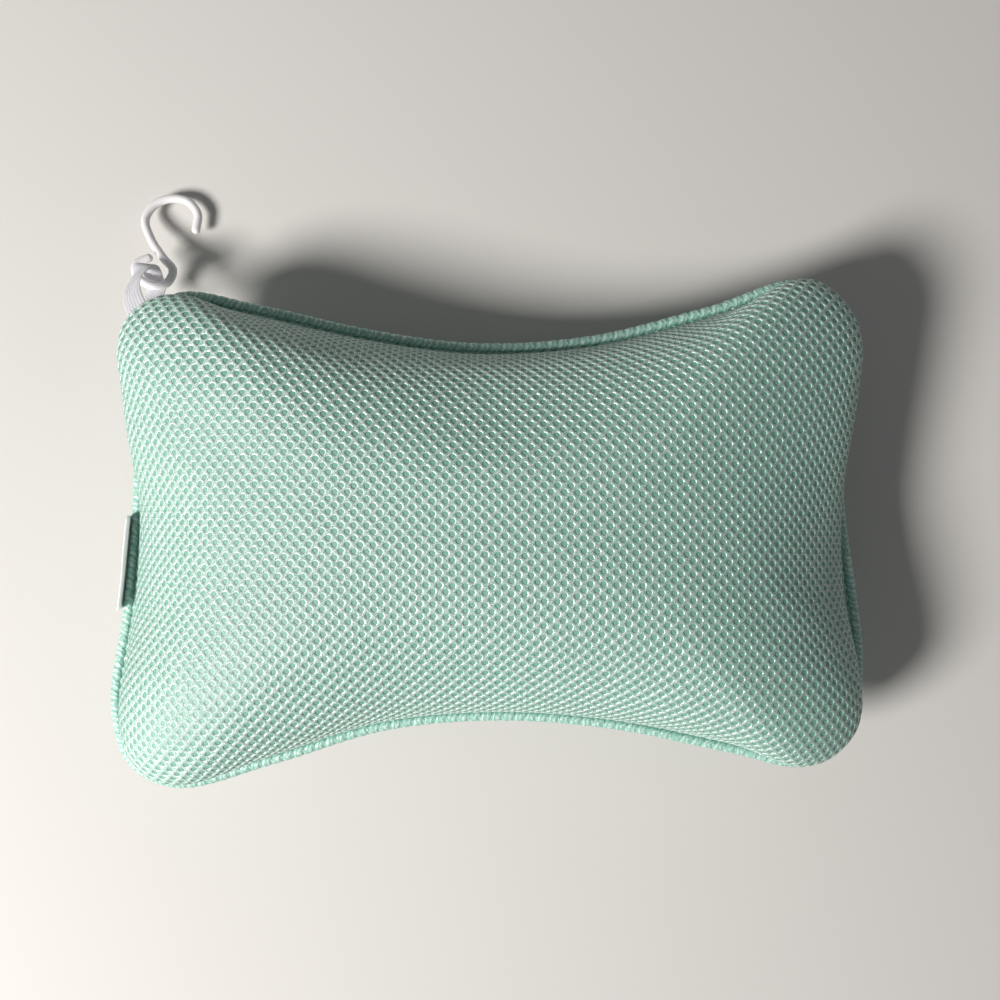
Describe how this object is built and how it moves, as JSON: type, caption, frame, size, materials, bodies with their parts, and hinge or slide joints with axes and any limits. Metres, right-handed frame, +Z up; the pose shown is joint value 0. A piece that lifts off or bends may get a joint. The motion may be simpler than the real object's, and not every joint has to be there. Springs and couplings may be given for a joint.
{
  "type": "bath pillow",
  "caption": "Bone-shaped spacer-mesh bath pillow with a sewn edge, a webbing loop carrying an S hook, a folded side label and suction cups underneath.",
  "frame": {"origin": "middle of the bounding box's base, on the plane the suction cups stand on", "axes": "+X along the pillow, away from the label; +Y across it, towards the hook; +Z up out of its face"},
  "size_m": [0.3426, 0.2822, 0.094],
  "materials": {
    "mesh": "knitted spacer mesh",
    "fibre": "loose polyester fibre",
    "webbing": "woven webbing",
    "satin": "satin ribbon",
    "white_plastic": "moulded gloss",
    "clear_vinyl": "clear soft vinyl"
  },
  "bodies": {
    "pillow": {"top_panel": "mesh", "back_panel": "mesh", "edge_overlock": "mesh", "fibre_fill": "fibre", "cup_eyelet_1": "white_plastic", "cup_eyelet_2": "white_plastic", "cup_eyelet_3": "white_plastic", "cup_eyelet_4": "white_plastic"},
    "strap": {"hanging_strap": "webbing"},
    "hook": {"s_hook": "white_plastic"},
    "label": {"side_label": "satin"},
    "cup_1": {"suction_cup_1": "clear_vinyl"},
    "cup_2": {"suction_cup_2": "clear_vinyl"},
    "cup_3": {"suction_cup_3": "clear_vinyl"},
    "cup_4": {"suction_cup_4": "clear_vinyl"}
  },
  "joints": [
    {"name": "strap_flex", "type": "hinge", "parent": "pillow", "child": "strap", "pos_m": [-0.15665, 0.0727, 0.0432], "axis": [0.5, 0.866, 0], "range_deg": [-20, 25]},
    {"name": "hook_swing", "type": "hinge", "parent": "strap", "child": "hook", "pos_m": [-0.16235, 0.0934, 0.0221], "axis": [0.8201, -0.5701, 0.05], "range_deg": [-40, 30]},
    {"name": "label_flex", "type": "hinge", "parent": "pillow", "child": "label", "pos_m": [-0.1599, -0.03844, 0.0436], "axis": [0.0797, 0.9968, 0], "range_deg": [-20, 6], "stiffness_Nm_per_rad": 0.0004},
    {"name": "cup_spin_1", "type": "hinge", "parent": "pillow", "child": "cup_1", "pos_m": [0.0961, 0.02456, 0.005], "axis": [0, 0, 1], "continuous": true},
    {"name": "cup_spin_2", "type": "hinge", "parent": "pillow", "child": "cup_2", "pos_m": [-0.0939, 0.02456, 0.005], "axis": [0, 0, 1], "continuous": true},
    {"name": "cup_spin_3", "type": "hinge", "parent": "pillow", "child": "cup_3", "pos_m": [-0.0939, -0.07544, 0.005], "axis": [0, 0, 1], "continuous": true},
    {"name": "cup_spin_4", "type": "hinge", "parent": "pillow", "child": "cup_4", "pos_m": [0.0961, -0.07544, 0.005], "axis": [0, 0, 1], "continuous": true}
  ]
}
